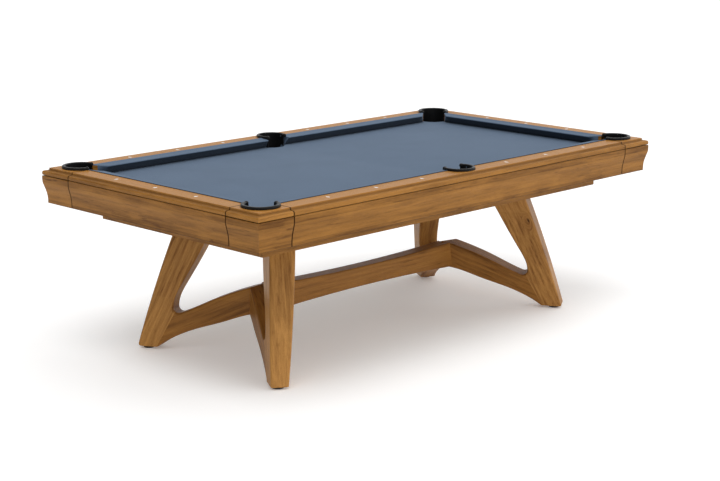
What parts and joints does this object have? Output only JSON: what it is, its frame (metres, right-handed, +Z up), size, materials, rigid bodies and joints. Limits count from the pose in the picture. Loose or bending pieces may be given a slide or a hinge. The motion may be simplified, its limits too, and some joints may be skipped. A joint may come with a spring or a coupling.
{
  "type": "pool table",
  "caption": "Wooden pool table with a slate bed under cloth, cloth-faced rubber cushions, lined ball pockets and splayed V-shaped legs tied by a long beam.",
  "frame": {"origin": "centre of the table's plan, on the floor under the feet", "axes": "+X along the long side, +Y across from the front side to the back side, +Z up"},
  "size_m": [2.5504, 1.4328, 0.8505],
  "materials": {
    "rail_wood": "satin",
    "apron_wood": "satin",
    "leg_wood": "satin",
    "frame_wood": "satin",
    "dowel_wood": "plain",
    "platform_board": "plain",
    "slate": "honed",
    "cloth": "napped",
    "cushion": "napped",
    "pocket_rubber": "satin",
    "sight": "polished",
    "steel": "zinc plated",
    "foot": "plain",
    "insert": "plain"
  },
  "bodies": {
    "table": {"apron_front": "apron_wood", "apron_back": "apron_wood", "apron_left": "apron_wood", "apron_right": "apron_wood", "corner_apron_front_left": "apron_wood", "corner_apron_front_right": "apron_wood", "corner_apron_back_left": "apron_wood", "corner_apron_back_right": "apron_wood", "rail_front": "rail_wood", "rail_back": "rail_wood", "rail_left": "rail_wood", "rail_right": "rail_wood", "corner_cap_front_left": "rail_wood", "corner_cap_front_right": "rail_wood", "corner_cap_back_left": "rail_wood", "corner_cap_back_right": "rail_wood", "leg_upright_front_left": "leg_wood", "leg_upright_front_right": "leg_wood", "leg_upright_back_left": "leg_wood", "leg_upright_back_right": "leg_wood", "leg_strut_front_left": "leg_wood", "leg_strut_front_right": "leg_wood", "leg_strut_back_left": "leg_wood", "leg_strut_back_right": "leg_wood", "stretcher_beam": "leg_wood", "frame_board_front": "frame_wood", "frame_board_back": "frame_wood", "frame_board_left": "frame_wood", "frame_board_right": "frame_wood", "leg_bolster_left": "frame_wood", "leg_bolster_right": "frame_wood", "cross_member": "frame_wood", "leg_dowels": "dowel_wood", "slate_platform": "platform_board", "slate_left": "slate", "slate_centre": "slate", "slate_right": "slate", "bed_cloth": "cloth", "cushion_front_left": "cushion", "cushion_front_right": "cushion", "cushion_back_left": "cushion", "cushion_back_right": "cushion", "cushion_left": "cushion", "cushion_right": "cushion", "pocket_front_left": "pocket_rubber", "pocket_front_right": "pocket_rubber", "pocket_back_left": "pocket_rubber", "pocket_back_right": "pocket_rubber", "pocket_front_centre": "pocket_rubber", "pocket_back_centre": "pocket_rubber", "sights": "sight", "rail_bolts": "steel", "slate_screws": "steel", "leg_bolts": "steel", "leg_plates": "steel", "leveller_inserts": "insert"},
    "leveller_front_left": {"leveller_front_left": "foot"},
    "leveller_front_right": {"leveller_front_right": "foot"},
    "leveller_back_left": {"leveller_back_left": "foot"},
    "leveller_back_right": {"leveller_back_right": "foot"}
  },
  "joints": [
    {"name": "level_front_left", "type": "slide", "parent": "table", "child": "leveller_front_left", "axis": [0, 0, -1], "range_m": [0, 0.015]},
    {"name": "level_front_right", "type": "slide", "parent": "table", "child": "leveller_front_right", "axis": [0, 0, -1], "range_m": [0, 0.015]},
    {"name": "level_back_left", "type": "slide", "parent": "table", "child": "leveller_back_left", "axis": [0, 0, -1], "range_m": [0, 0.015]},
    {"name": "level_back_right", "type": "slide", "parent": "table", "child": "leveller_back_right", "axis": [0, 0, -1], "range_m": [0, 0.015]}
  ]
}
